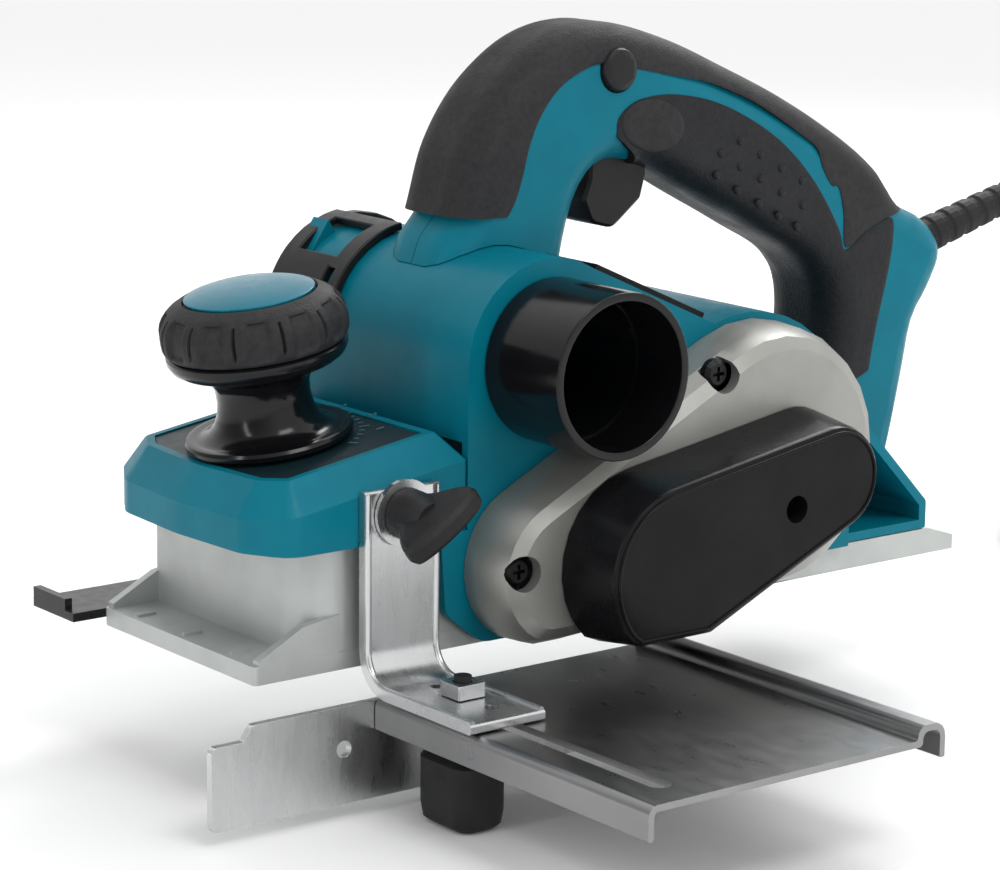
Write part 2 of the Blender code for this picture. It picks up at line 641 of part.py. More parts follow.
def handle():
    near = handle_half("handle_left", -1.0)
    handle_half("handle_right", 1.0)
    for thing in (near, top_grip()):
        combine(thing, turned_y(LOCK, [(-25.0, 7.4), (-8.0, 7.4)], 24))
    for side, name in ((-1.0, "palm_grip_left"), (1.0, "palm_grip_right")):
        pad = spline([(176.0, 158.0), (200.0, 150.5), (228.0, 137.0), (250.0, 121.0),
                      (262.0, 103.0), (266.0, 80.0), (258.0, 76.0), (252.0, 96.0),
                      (240.0, 109.0), (216.0, 122.0), (190.0, 136.0), (172.0, 143.0),
                      (167.0, 151.0)], 3, closed=True)[::-1]
        make(name, across(pad, [(side * (HANDLE_HALF + GAP), 0.0),
                                (side * (HANDLE_HALF + 1.2), 0.0),
                                (side * (HANDLE_HALF + 1.6), 0.6)]), RUBBER)


def top_grip():
    """The soft grip over the outer edge of the arch, a bent channel swept along it."""
    outer = handle_outer()
    normals = outer_normals(outer)
    widths = [(-y, d) for y, d in ROUNDING[:0:-1]] + list(ROUNDING)
    sections = []
    for i in range(GRIP_FROM, GRIP_TO + 1):
        point, normal = Vector(outer[i]), normals[i]
        section = []
        for depth, order in ((0.0, widths), (SKIN - GAP, widths[::-1])):
            for y, d in order:
                place = point + normal * (d + depth)
                section.append((place.x, y, place.y))
        sections.append(section)
    return make("top_grip", loops_solid(sections), RUBBER)


LOCK = (153.0, 168.5)


def controls():
    """The trigger, its switch and the lock button."""
    outline = rounded([(150.5, 145.0, 1.0), (150.0, 133.0, 3.0), (147.4, 126.5, 3.0),
                       (151.0, 119.0, 4.0), (160.0, 116.6, 5.0), (171.5, 125.5, 2.5),
                       (173.5, 133.0, 2.0), (173.5, 145.0, 1.0)], 3)
    pivot = (171.0, 0.0, 141.5)
    make("trigger", across(outline, [(-8.6, 1.0), (-7.6, 0.0), (7.6, 0.0), (8.6, 1.0)]), BLACK,
         pivot)
    make("switch_body", block((154.0, -9.0, 150.5), (186.0, 9.0, 161.0), 1.0), BLACK)
    make("lock_button", turned_y(LOCK, [(-20.4, 4.8), (-19.6, 6.4), (-18.4, 7.0), (-10.4, 7.0)],
         24), BLACK, (LOCK[0], -15.0, LOCK[1]))


def guard_way():
    return Vector((math.cos(GUARD_RISE), 0.0, math.sin(GUARD_RISE)))


def cord_guard():
    """The tapered sleeve where the lead leaves the handle, with its ribs."""
    start = Vector(GUARD_START)
    profile = [(-16.0, 6.6), (0.0, 6.6)]
    for k in range(6):
        s = 4.0 + 8.0 * k
        r = 6.6 - 1.2 * s / GUARD_LENGTH
        profile += [(s, r), (s + 1.2, r - 0.7), (s + 3.0, r - 0.7), (s + 4.2, r - 0.1)]
    profile += [(GUARD_LENGTH - 1.0, 5.2), (GUARD_LENGTH, 4.6)]
    make("cord_guard", turned_z((0.0, 0.0), profile, 20), RUBBER, tuple(start),
         -(math.pi / 2.0 - GUARD_RISE))


# ---- depth knob ---------------------------------------------------------------------------
def depth_knob():
    """The front knob, which turns the screw that lifts the front base."""
    core = [(0.6, 24.6), (1.6, 25.7), (3.4, 25.7), (4.4, 24.4), (6.0, 19.0), (9.0, 15.2),
            (14.0, 13.2), (20.0, 13.6), (24.5, 16.4), (27.4, 22.0), (28.6, 25.4), (30.0, 26.2),
            (30.0, 14.0), (44.2, 14.0)]
    thing = make("knob_core", turned_z((0.0, 0.0), core, 36), BLACK, KNOB_FOOT, TILT)
    combine(thing, turned_z((0.0, 0.0), [(-2.0, 4.4), (22.0, 4.4)], 16), "DIFFERENCE",
            KNOB_FOOT, TILT)
    grip = [(30.4, 14.4), (30.4, 27.4), (33.0, 28.6), (37.5, 28.7), (42.0, 26.6), (45.4, 22.6),
            (46.2, 20.6), (44.9, 20.3), (44.9, 14.4)]
    bm = turned_ring_z((0.0, 0.0), grip, 36)
    make("knob_grip", bm, RUBBER, KNOB_FOOT, TILT)
    cap = [(45.3, 19.6), (46.6, 20.0), (47.8, 16.0), (48.6, 10.0), (48.9, 4.0)]
    make("knob_cap", turned_z((0.0, 0.0), cap, 32), TEAL, KNOB_FOOT, TILT)
    screw = [(-46.0, 3.2), (-44.0, 4.0), (20.0, 4.0), (21.5, 3.0)]
    make("depth_screw", turned_z((0.0, 0.0), screw, 16), STEEL, KNOB_FOOT, TILT)
    depth_spring()


def depth_spring():
    """The coil spring that takes the play out of the depth screw."""
    turns, per_turn, sides = 4, 14, 6
    radius, wire, low = 11.2, 0.8, -48.0
    loops = []
    for k in range(turns * per_turn + 1):
        a = 2.0 * math.pi * k / per_turn
        centre = Vector((radius * math.cos(a), radius * math.sin(a), low + 5.0 * k / per_turn))
        out = Vector((math.cos(a), math.sin(a), 0.0))
        loop = []
        for s in range(sides):
            b = 2.0 * math.pi * s / sides
            loop.append(tuple(centre + out * (wire * math.cos(b))
                              + Vector((0.0, 0.0, wire * math.sin(b)))))
        loops.append(loop)
    make("depth_spring", loops_solid(loops), STEEL, KNOB_FOOT, TILT)


# ---- edge guide ---------------------------------------------------------------------------
def clamp_knob(name, base, side, angle, pivot):
    """A wing knob along y: a boss, a flat wing that spreads from it, and its threaded stud."""
    edge = [(6.0, 3.5), (8.8, 7.5), (12.0, 12.0), (14.2, 16.5), (13.6, 20.2), (8.0, 22.2),
            (0.0, 22.8)]
    wing = spline(edge + [(-across, out) for across, out in edge[-2::-1]], 3, closed=True)
    turn = math.radians(angle)
    loops = []
    for level, shrink in ((-3.9, 2.4), (-3.3, 1.0), (-1.8, 0.0), (1.8, 0.0), (3.3, 1.0), (3.9, 2.4)):
        loops.append([(pivot[0] + t * math.cos(turn) - level * math.sin(turn), base + side * out,
                       pivot[2] + t * math.sin(turn) + level * math.cos(turn))
                      for t, out in inset(wing, shrink)])
    thing = make(name, loops_solid(loops), RUBBER, pivot)
    centre = (pivot[0], pivot[2])
    combine(thing, turned_y(centre, [(base, 7.8), (base + side * 8.0, 7.4),
                                     (base + side * 13.0, 5.4)], 20), "UNION")
    combine(thing, turned_y(centre, [(base - side * 12.0, 2.8), (base + side * 6.0, 2.8)], 14),
            "UNION")


def edge_guide():
    """The bent strap, its plate and fence, and the knobs that clamp them."""
    face = -BEZEL_HALF - GAP
    low = -6.2
    bend = rounded([(face, 54.5, 0.8), (face - 3.0, 54.5, 0.8), (face - 3.0, low + 3.0, 10.0),
                    (-101.0, low + 3.0, 0.8), (-101.0, low, 0.8), (face, low, 13.0)], 6)
    bm = loops_solid([[(x, y, z) for y, z in bend] for x in (34.0, 61.0)])
    strap = make("guide_bracket", bm, STEEL)
    combine(strap, turned_y((CLAMP_X, CLAMP_Z), [(face - 6.0, 3.2), (face + 4.0, 3.2)], 16))
    for y, r in ((GUIDE_BOLT[1], 3.2), (-64.0, 2.2), (-90.0, 2.2)):
        combine(strap, turned_z((GUIDE_BOLT[0], y), [(-20.0, r), (4.0, r)], 16))
    washer = face - 3.0 - GAP
    make("clamp_washer", ring_y((CLAMP_X, CLAMP_Z), washer - 1.5, washer, 10.2, 3.2, 28), STEEL)
    clamp_knob("clamp_knob_front", washer - 1.8, -1.0, 34.0, (CLAMP_X, -60.0, CLAMP_Z))
    make("square_nut", block((GUIDE_BOLT[0] - 5.0, GUIDE_BOLT[1] - 5.0, low + 3.3),
         (GUIDE_BOLT[0] + 5.0, GUIDE_BOLT[1] + 5.0, low + 7.6), 1.0), STEEL)
    combine(bpy.data.objects["square_nut"], turned_z(GUIDE_BOLT, [(-6.0, 3.1), (8.0, 3.1)], 14))
    fence(low)
    knob_below(low)


def fence(low):
    """The slotted plate with its turned edges, and the fence wall."""
    top = low - GAP
    thick = 2.0
    plate = rounded([(35.0, top - 10.0, 0.5), (37.0, top - 10.0, 0.5), (37.0, top - thick, 1.2),
                     (136.6, top - thick, 1.2), (136.6, top + 2.2, 2.2), (143.4, top + 2.2, 2.4),
                     (143.4, top - 6.5, 0.5), (145.4, top - 6.5, 0.5), (145.4, top + 4.2, 4.4),
                     (134.6, top + 4.2, 3.2), (134.6, top, 0.8), (35.0, top, 3.0)], 4)
    thing = make("fence_plate", across(plate, [(-178.0, 0.0), (-53.2, 0.0)]), STEEL)
    slot = rounded([(GUIDE_BOLT[0] - 3.6, -168.0, 3.5), (GUIDE_BOLT[0] + 3.6, -168.0, 3.5),
                    (GUIDE_BOLT[0] + 3.6, -62.0, 3.5), (GUIDE_BOLT[0] - 3.6, -62.0, 3.5)], 4)
    combine(thing, upward(slot, [(top - 6.0, 0.0), (top + 2.0, 0.0)]))
    wall = rounded([(-22.0, -37.5, 2.0), (156.0, -37.5, 2.0), (156.0, top - 1.0, 1.0),
                    (-8.0, top - 1.0, 2.5), (-11.0, top - 5.5, 1.0), (-22.0, top - 5.5, 2.0)], 3)
    fence_wall = make("fence_wall", across(wall, [(-52.9, 0.0), (-50.4, 0.0)]), STEEL)
    combine(fence_wall, turned_y((24.0, -20.5), [(-60.0, 2.6), (-40.0, 2.6)], 16))


def knob_below(low):
    """The wing knob under the plate, on its upright stud."""
    x, y = GUIDE_BOLT
    top = low - GAP - 2.5 - GAP
    wing = rounded([(x - 9.0, y - 12.5, 6.0), (x + 9.0, y - 12.5, 6.0), (x + 9.0, y + 12.5, 6.0),
                    (x - 9.0, y + 12.5, 6.0)], 4)
    thing = make("clamp_knob_under", upward(wing, [
        (FLOOR_Z, 3.0), (FLOOR_Z + 1.6, 0.8), (FLOOR_Z + 6.0, 0.0), (-22.0, 0.0), (-19.0, 2.6)]),
        RUBBER, (x, y, -30.0))
    combine(thing, turned_z((x, y), [(-24.0, 8.0), (top, 7.0)], 20), "UNION")
    combine(thing, turned_z((x, y), [(-15.0, 2.7), (low + 9.4, 2.7)], 14), "UNION")


def depth_guide():
    """The rebate stop on the far side, with its foot and wing knob."""
    face = BEZEL_HALF + GAP
    bend = [(face, 58.0), (face, 0.6), (72.0, 0.6), (72.0, 3.4), (face + 2.6, 3.4),
            (face + 2.6, 58.0)]
    bm = loops_solid([[(x, y, z) for y, z in bend] for x in (37.0, 58.0)])
    stop = make("depth_stop", bm, DARK_STEEL)
    combine(stop, block((-8.0, face + 1.0, 0.6), (50.0, 71.9, 3.4)), "UNION")
    combine(stop, block((-8.0, face + 6.0, 0.6), (-5.4, 71.8, 7.0)), "UNION")
    slot = rounded([(CLAMP_X - 3.4, 20.0, 3.3), (CLAMP_X + 3.4, 20.0, 3.3),
                    (CLAMP_X + 3.4, 51.5, 3.3), (CLAMP_X - 3.4, 51.5, 3.3)], 4)
    combine(stop, across(slot, [(face - 4.0, 0.0), (face + 6.0, 0.0)]))
    clamp_knob("clamp_knob_far", face + 2.6 + GAP, 1.0, 8.0, (CLAMP_X, 56.0, CLAMP_Z))


# ---- fasteners and plates -----------------------------------------------------------------
def fasteners():
    for k, centre in enumerate(CASE_SCREWS):
        cross_screw(f"case_screw_{k + 1}", centre, -62.4, -59.0, 4.6, 2.0, 10.0)
    cross_screw("cover_screw", COVER_SCREW, -77.6, -74.4, 3.8, 1.9, 12.0)


# ---- lead ---------------------------------------------------------------------------------
def cord_route():
    """The lead's own points from the guard to the coil, read from a smooth curve."""
    end = Vector(GUARD_START) + guard_way() * (GUARD_LENGTH + 3.0 * GAP)
    points = [tuple(end), (372.0, -0.2, 118.6), (390.0, -1.6, 117.2), (406.0, -4.6, 109.5),
              (417.5, -8.6, 95.0), (423.5, -12.8, 75.0), (425.8, -16.8, 52.0),
              (425.8, -20.0, 30.0), (425.2, -22.0, 10.0), (424.6, -21.8, -8.0),
              (424.2, -17.0, -23.0), (424.0, -7.5, -33.6),
              (424.0, 5.0, FLOOR_Z + CORD_D / 2.0 + 0.2),
              (424.0, 10.0, FLOOR_Z + CORD_D / 2.0 + 0.2)]
    return spline(points, 3)


def lead():
    """The free lead, its coil on the surface and its plug."""
    curve = bpy.data.curves.new("cord", "CURVE")
    curve.dimensions = "3D"
    curve.bevel_depth = CORD_D / 2000.0
    curve.bevel_resolution = 2
    curve.use_fill_caps = True
    line = curve.splines.new("POLY")
    points = cord_route()
    line.points.add(len(points) - 1)
    for target, point in zip(line.points, points):
        target.co = (*world(point), 1.0)
    curve.materials.append(material(RUBBER))
    bpy.context.collection.objects.link(bpy.data.objects.new("cord", curve))
    half = COIL_ROWS * CORD_D / 2.0
    low = FLOOR_Z + 0.2
    bm = turned_ring_z(COIL_CENTRE, [(low, COIL_R + half), (low + 2 * half, COIL_R + half),
                                     (low + 2 * half, COIL_R - half), (low, COIL_R - half)], 36)
    make("cord_coil", bm, RUBBER)
    plug()


def plug():
    """A flat-bodied two-pin plug lying on top of the coil's turns."""
    z0 = FLOOR_Z + 0.2 + COIL_ROWS * CORD_D + GAP
    x, y = COIL_CENTRE[0] + COIL_R, COIL_CENTRE[1]
    body = rounded([(x - 17.0, y - 22.0, 5.0), (x + 17.0, y - 22.0, 5.0), (x + 12.0, y + 16.0, 6.0),
                    (x - 12.0, y + 16.0, 6.0)], 4)
    thing = make("plug", upward(body, [(z0, 1.0), (z0 + 1.5, 0.0), (z0 + 12.0, 0.0),
                                       (z0 + 14.0, 1.6)]), BLACK)
    for side in (-1.0, 1.0):
        pin = turned_y((x + side * 9.5, z0 + 7.0), [(y - 41.0, 1.4), (y - 40.0, 2.2),
                                                    (y - 20.0, 2.2)], 12)
        combine(thing, pin, "UNION")


def main():
    clear_scene()
    front_base()
    rear_base()
    rear_foot()
    drum()
    drum_blades()
    bearings()
    motor()
    belt_drive()
    main_housing()
    front_housing()
    scale_plate()
    side_case()
    belt_cover()
    far_covers()
    nozzle_and_chip_cover()
    handle()
    controls()
    cord_guard()
    depth_knob()
    edge_guide()
    depth_guide()
    fasteners()
    lead()


main()
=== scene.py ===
"""Looks for the hand planer: camera, cord, detailed pieces and procedural materials.

Points are written in millimetres from the front edge of the sole, as the design gives them,
and mm() turns them into metres in the row frame.
"""

import math

import bmesh
import bpy
from mathutils import Matrix, Vector


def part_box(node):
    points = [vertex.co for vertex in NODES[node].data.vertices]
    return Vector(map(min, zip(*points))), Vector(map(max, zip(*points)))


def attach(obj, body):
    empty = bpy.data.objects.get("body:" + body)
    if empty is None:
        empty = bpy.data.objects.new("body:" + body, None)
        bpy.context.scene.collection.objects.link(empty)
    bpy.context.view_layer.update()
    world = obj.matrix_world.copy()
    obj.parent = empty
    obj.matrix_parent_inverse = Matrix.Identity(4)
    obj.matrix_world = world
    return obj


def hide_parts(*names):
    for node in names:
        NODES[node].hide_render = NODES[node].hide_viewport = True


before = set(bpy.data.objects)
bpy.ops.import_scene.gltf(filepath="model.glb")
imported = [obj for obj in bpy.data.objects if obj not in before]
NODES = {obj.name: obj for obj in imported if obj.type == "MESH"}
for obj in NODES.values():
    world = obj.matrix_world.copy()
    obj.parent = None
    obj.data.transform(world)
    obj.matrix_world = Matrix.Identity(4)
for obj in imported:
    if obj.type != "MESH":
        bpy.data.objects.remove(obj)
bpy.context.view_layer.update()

FLOOR_Z = -42.0
TILT = math.radians(9.0)
KNOB_FOOT = (33.8, 0.0, 61.8)
KNOB_AXIS = Vector((-math.sin(TILT), 0.0, math.cos(TILT)))
DUCT = (105.0, 86.0)


# ---- places and shapes --------------------------------------------------------------------
def mm(x, y, z):
    return Vector(((x - 200.0) / 1000.0, y / 1000.0, z / 1000.0))


def piece(name, bm, body, finish, smooth=35.0):
    """A mesh object from a bmesh already in metres, riding on a body."""
    bmesh.ops.remove_doubles(bm, verts=bm.verts[:], dist=1e-7)
    bmesh.ops.recalc_face_normals(bm, faces=bm.faces[:])
    mesh = bpy.data.meshes.new(name)
    bm.to_mesh(mesh)
    bm.free()
    mesh.materials.append(finish)
    mesh.shade_smooth()
    mesh.set_sharp_from_angle(angle=math.radians(smooth))
    thing = bpy.data.objects.new(name, mesh)
    bpy.context.scene.collection.objects.link(thing)
    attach(thing, body)
    return thing


def bridge(bm, rings, closed_along=False, caps=True):
    """Faces between rings of points of equal length."""
    made = [[bm.verts.new(p) for p in ring] for ring in rings]
    count = len(rings[0])
    pairs = list(zip(made, made[1:]))
    if closed_along:
        pairs.append((made[-1], made[0]))
    for a, b in pairs:
        for i in range(count):
            j = (i + 1) % count
            bm.faces.new((a[i], a[j], b[j], b[i]))
    if caps and not closed_along:
        bm.faces.new(made[0][::-1])
        bm.faces.new(made[-1])


def spline(points, per_span=4, closed=False):
    """Points on a smooth curve through the given ones."""
    count = len(points)
    spans = count if closed else count - 1
    curve = []
    for i in range(spans):
        if closed:
            a, b, c, d = (Vector(points[(i + k - 1) % count]) for k in range(4))
        else:
            a, b = Vector(points[max(i - 1, 0)]), Vector(points[i])
            c, d = Vector(points[i + 1]), Vector(points[min(i + 2, count - 1)])
        for k in range(per_span):
            t = k / per_span
            p = 0.5 * (2 * b + (c - a) * t + (2 * a - 5 * b + 4 * c - d) * t * t
                       + (3 * b - a - 3 * c + d) * t**3)
            curve.append(tuple(p))
    if not closed:
        curve.append(tuple(points[-1]))
    return curve


def tube(bm, points, radius, sides=10, closed=False):
    """A round bead along points given in metres."""
    rings = []
    count = len(points)
    up = None
    for i, p in enumerate(points):
        if closed:
            along = (points[(i + 1) % count] - points[i - 1]).normalized()
        else:
            along = (points[min(i + 1, count - 1)] - points[max(i - 1, 0)]).normalized()
        if up is None:
            up = along.orthogonal().normalized()
        up = (up - along * up.dot(along)).normalized()
        side = along.cross(up)
        rings.append([p + (up * math.cos(a) + side * math.sin(a)) * radius
                      for a in (2.0 * math.pi * k / sides for k in range(sides))])
    bridge(bm, rings, closed_along=closed)


def turned(bm, origin, axis, profile, sides=48, closed=False):
    """A turned shape round an axis: profile is (distance along, radius) in mm."""
    u = axis.orthogonal().normalized()
    v = axis.cross(u)
    rings = []
    for along, radius in profile:
        centre = origin + axis * (along / 1000.0)
        rings.append([centre + (u * math.cos(a) + v * math.sin(a)) * (radius / 1000.0)
                      for a in (2.0 * math.pi * k / sides for k in range(sides))])
    bridge(bm, rings, closed_along=closed)


def slab(bm, corners, depth):
    """A flat plate from a ring of points in metres, thickened along a vector."""
    top = [bm.verts.new(p) for p in corners]
    low = [bm.verts.new(p + depth) for p in corners]
    bm.faces.new(top)
    bm.faces.new(low[::-1])
    for i in range(len(corners)):
        j = (i + 1) % len(corners)
        bm.faces.new((top[j], top[i], low[i], low[j]))


# ---- materials ----------------------------------------------------------------------------
def blank(name, colour, roughness, metallic=0.0, **sockets):
    made = bpy.data.materials.new(name)
    made.use_nodes = True
    shader = made.node_tree.nodes["Principled BSDF"]
    shader.inputs["Base Color"].default_value = (*colour, 1.0)
    shader.inputs["Roughness"].default_value = roughness
    shader.inputs["Metallic"].default_value = metallic
    for socket, value in sockets.items():
        shader.inputs[socket.replace("_", " ")].default_value = value
    return made, made.node_tree, shader


def noise(tree, scale, detail=3.0, stretch=None, kind="ShaderNodeTexNoise"):
    """A noise texture in object space, in features per metre."""
    place = tree.nodes.new("ShaderNodeTexCoord")
    out = place.outputs["Object"]
    if stretch:
        mapping = tree.nodes.new("ShaderNodeMapping")
        mapping.inputs["Scale"].default_value = stretch
        tree.links.new(out, mapping.inputs["Vector"])
        out = mapping.outputs["Vector"]
    node = tree.nodes.new(kind)
    node.inputs["Scale"].default_value = scale
    if "Detail" in node.inputs:
        node.inputs["Detail"].default_value = detail
    tree.links.new(out, node.inputs["Vector"])
    return node


def ramp(tree, source, stops):
    node = tree.nodes.new("ShaderNodeValToRGB")
    node.color_ramp.elements[0].position, node.color_ramp.elements[0].color = stops[0]
    node.color_ramp.elements[1].position, node.color_ramp.elements[1].color = stops[-1]
    for place, colour in stops[1:-1]:
        extra = node.color_ramp.elements.new(place)
        extra.color = colour
    tree.links.new(source, node.inputs["Fac"])
    return node.outputs["Color"]


def grey(value):
    return (value, value, value, 1.0)


def bump(tree, shader, source, distance, strength=1.0, normal=None):
    node = tree.nodes.new("ShaderNodeBump")
    node.inputs["Strength"].default_value = strength
    node.inputs["Distance"].default_value = distance
    tree.links.new(source, node.inputs["Height"])
    if normal:
        tree.links.new(normal, node.inputs["Normal"])
    tree.links.new(node.outputs["Normal"], shader.inputs["Normal"])
    return node.outputs["Normal"]


def worn(tree, shader, source, low, high):
    """Roughness that varies between two values with a texture."""
    tree.links.new(ramp(tree, source, [(0.3, grey(low)), (0.7, grey(high))]),
                   shader.inputs["Roughness"])


def tinted(tree, shader, source, dark, light):
    tree.links.new(ramp(tree, source, [(0.3, (*dark, 1.0)), (0.7, (*light, 1.0))]),
                   shader.inputs["Base Color"])


def moulded(name, dark, light, rough, grain=1400.0, depth=0.00003, sheen=0.25):
    """Moulded plastic with a fine spark-eroded skin and a faint cloudiness."""
    made, tree, shader = blank(name, light, rough[0], Specular_IOR_Level=sheen)
    cloud = noise(tree, 60.0)
    tinted(tree, shader, cloud.outputs["Fac"], dark, light)
    worn(tree, shader, noise(tree, 220.0).outputs["Fac"], *rough)
    bump(tree, shader, noise(tree, grain, 2.0).outputs["Fac"], depth, 0.6)
    return made


def leathery(name, dark, light, rough):
    """Soft rubber with a leather-like pebble grain."""
    made, tree, shader = blank(name, light, rough[0], Specular_IOR_Level=0.22)
    tinted(tree, shader, noise(tree, 500.0).outputs["Fac"], dark, light)
    worn(tree, shader, noise(tree, 90.0).outputs["Fac"], *rough)
    pebble = noise(tree, 1100.0, kind="ShaderNodeTexVoronoi")
    first = bump(tree, shader, pebble.outputs["Distance"], 0.00016, 0.55)
    bump(tree, shader, noise(tree, 2600.0).outputs["Fac"], 0.00004, 0.5, first)
    return made


def cast_metal(name, dark, light, rough, metallic=0.75, depth=0.00007):
    """Satin cast alloy with a fine sand skin."""
    made, tree, shader = blank(name, light, rough[0], metallic)
    tinted(tree, shader, noise(tree, 45.0, 6.0).outputs["Fac"], dark, light)
    worn(tree, shader, noise(tree, 160.0, 5.0).outputs["Fac"], *rough)
    bump(tree, shader, noise(tree, 1500.0, 3.0).outputs["Fac"], depth, 0.5)
    return made


def plated(name, dark, light, rough, stretch=(1.0, 1.0, 1.0)):
    """Bright zinc plate: a faint cloudiness, rolling marks and small scuffs."""
    made, tree, shader = blank(name, light, rough[0], 1.0)
    tinted(tree, shader, noise(tree, 60.0, 6.0, stretch).outputs["Fac"], dark, light)
    worn(tree, shader, noise(tree, 110.0, 8.0, stretch).outputs["Fac"], *rough)
    marks = noise(tree, 500.0, 4.0, stretch)
    bump(tree, shader, marks.outputs["Fac"], 0.000006, 0.3)
    return made


def glossy(name, colour, rough):
    made, tree, shader = blank(name, colour, rough[0], Specular_IOR_Level=0.3)
    tinted(tree, shader, noise(tree, 90.0).outputs["Fac"], tuple(c * 0.7 for c in colour), colour)
    worn(tree, shader, noise(tree, 120.0, 5.0).outputs["Fac"], *rough)
    bump(tree, shader, noise(tree, 900.0).outputs["Fac"], 0.00001, 0.4)
    return made


TEAL = moulded("teal_moulded", (0.0, 0.145, 0.205), (0.0, 0.165, 0.232), (0.34, 0.44),
              sheen=0.14)
TEAL_CAP = moulded("teal_cap", (0.0, 0.125, 0.185), (0.0, 0.14, 0.205), (0.2, 0.28),
                  depth=0.00001)
HOOD = leathery("leather_grain_rubber", (0.017, 0.017, 0.0185), (0.026, 0.026, 0.028), (0.52, 0.66))
GRIP = leathery("smooth_grip_rubber", (0.009, 0.0095, 0.011), (0.015, 0.0155, 0.0175), (0.42, 0.55))
WING = moulded("wing_plastic", (0.011, 0.011, 0.012), (0.018, 0.018, 0.019), (0.42, 0.56),
               900.0, 0.00006)
BLACK = moulded("black_moulded", (0.008, 0.008, 0.009), (0.013, 0.013, 0.014), (0.32, 0.44))
GLOSS = glossy("black_gloss", (0.006, 0.006, 0.007), (0.12, 0.22))
COVER = moulded("cover_black", (0.006, 0.006, 0.007), (0.010, 0.010, 0.011), (0.2, 0.3),
                1200.0, 0.00002, 0.12)
CAST = cast_metal("cast_alloy", (0.42, 0.44, 0.43), (0.5, 0.52, 0.505), (0.38, 0.5), 0.5)
CASE = cast_metal("case_alloy", (0.3, 0.3, 0.28), (0.36, 0.36, 0.34), (0.36, 0.46), 0.6)
ZINC = plated("zinc_plate", (0.58, 0.585, 0.59), (0.64, 0.645, 0.65), (0.25, 0.31), (3.0, 1.0, 0.5))
SHEET = plated("rolled_sheet", (0.27, 0.27, 0.27), (0.3, 0.3, 0.305), (0.27, 0.31),
               (2.0, 0.8, 1.0))
TURNED = plated("turned_steel", (0.5, 0.5, 0.5), (0.62, 0.62, 0.62), (0.18, 0.3))
DARK = cast_metal("blackened_steel", (0.012, 0.012, 0.012), (0.03, 0.03, 0.03), (0.3, 0.45), 0.8)
PAINTED = moulded("black_enamel", (0.008, 0.008, 0.009), (0.014, 0.014, 0.015), (0.22, 0.34))
CABLE = moulded("cable_rubber", (0.011, 0.011, 0.012), (0.017, 0.017, 0.018), (0.5, 0.62))
COPPER = cast_metal("copper_winding", (0.42, 0.16, 0.06), (0.6, 0.26, 0.1), (0.3, 0.45), 0.9)
PLATE = moulded("scale_plate_black", (0.004, 0.016, 0.021), (0.007, 0.022, 0.028), (0.35, 0.45))
MARK = moulded("scale_marks", (0.05, 0.16, 0.19), (0.07, 0.2, 0.24), (0.4, 0.5))

FINISHES = {
    TEAL: "chip_cover main_housing front_housing handle_left handle_right",
    TEAL_CAP: "knob_cap",
    PLATE: "scale_plate",
    COVER: "belt_cover",
    GLOSS: "dust_nozzle knob_core",
    BLACK: "motor_end_cover drum_end_cap trigger switch_body lock_button cooling_fan",
    CABLE: "cord_guard plug drive_belt carbon_brush_top carbon_brush_bottom",
    WING: "clamp_knob_under clamp_knob_front clamp_knob_far",
    CAST: "front_base rear_base cutter_drum drum_pulley motor_pulley blade_clamp_a blade_clamp_b",
    CASE: "side_case",
    ZINC: "guide_bracket clamp_washer square_nut fence_wall",
    SHEET: "fence_plate",
    TURNED: ("planer_blade_a planer_blade_b drum_bearing_near drum_bearing_far "
             "motor_bearing_near motor_bearing_far motor_shaft depth_screw depth_spring"),
    DARK: "stator case_screw_1 case_screw_2 cover_screw",
    PAINTED: "depth_stop rear_foot",
    COPPER: "armature",
    HOOD: "top_grip knob_grip palm_grip_left palm_grip_right cord cord_coil",
}


def paint_nodes():
    """Give every CAD node its finish."""
    for finish, names in FINISHES.items():
        for name in names.split():
            node = NODES[name]
            node.data.materials.clear()
            node.data.materials.append(finish)


def soften(name, width, angle=32.0, segments=2):
    """Bevel a CAD node's hard edges with a modifier and shade it by angle."""
    node = NODES[name]
    node.data.shade_smooth()
    edge = node.modifiers.new("weld", "WELD")
    edge.merge_threshold = 1e-6
    edge = node.modifiers.new("edges", "BEVEL")
    edge.width = width / 1000.0
    edge.segments = segments
    edge.limit_method = "ANGLE"
    edge.angle_limit = math.radians(angle)
    edge.harden_normals = False
    edge.miter_outer = "MITER_ARC"
    node.modifiers.new("shading", "WEIGHTED_NORMAL").keep_sharp = True


# ---- camera, floor and light --------------------------------------------------------------
def camera():
    """The view from the front left, a little above the tool."""
    azimuth, elevation, roll = math.radians(-37.741), math.radians(12.131), math.radians(0.583)
    back = Vector((math.sin(azimuth) * math.cos(elevation),
                   -math.cos(azimuth) * math.cos(elevation), math.sin(elevation)))
    right = Vector((math.cos(azimuth), math.sin(azimuth), 0.0))
    up = back.cross(right)
    turned_right = right * math.cos(roll) + up * math.sin(roll)
    turned_up = up * math.cos(roll) - right * math.sin(roll)
    lens = bpy.data.cameras.new("view")
    lens.lens = 118.8
    lens.sensor_width = 36.0
    lens.clip_start, lens.clip_end = 0.05, 30.0
    holder = bpy.data.objects.new("view", lens)
    turn = Matrix((turned_right, turned_up, back)).transposed().to_4x4()
    holder.matrix_world = Matrix.Translation((-0.7076, -0.8129, 0.2733)) @ turn
    bpy.context.scene.collection.objects.link(holder)
    bpy.context.scene.camera = holder


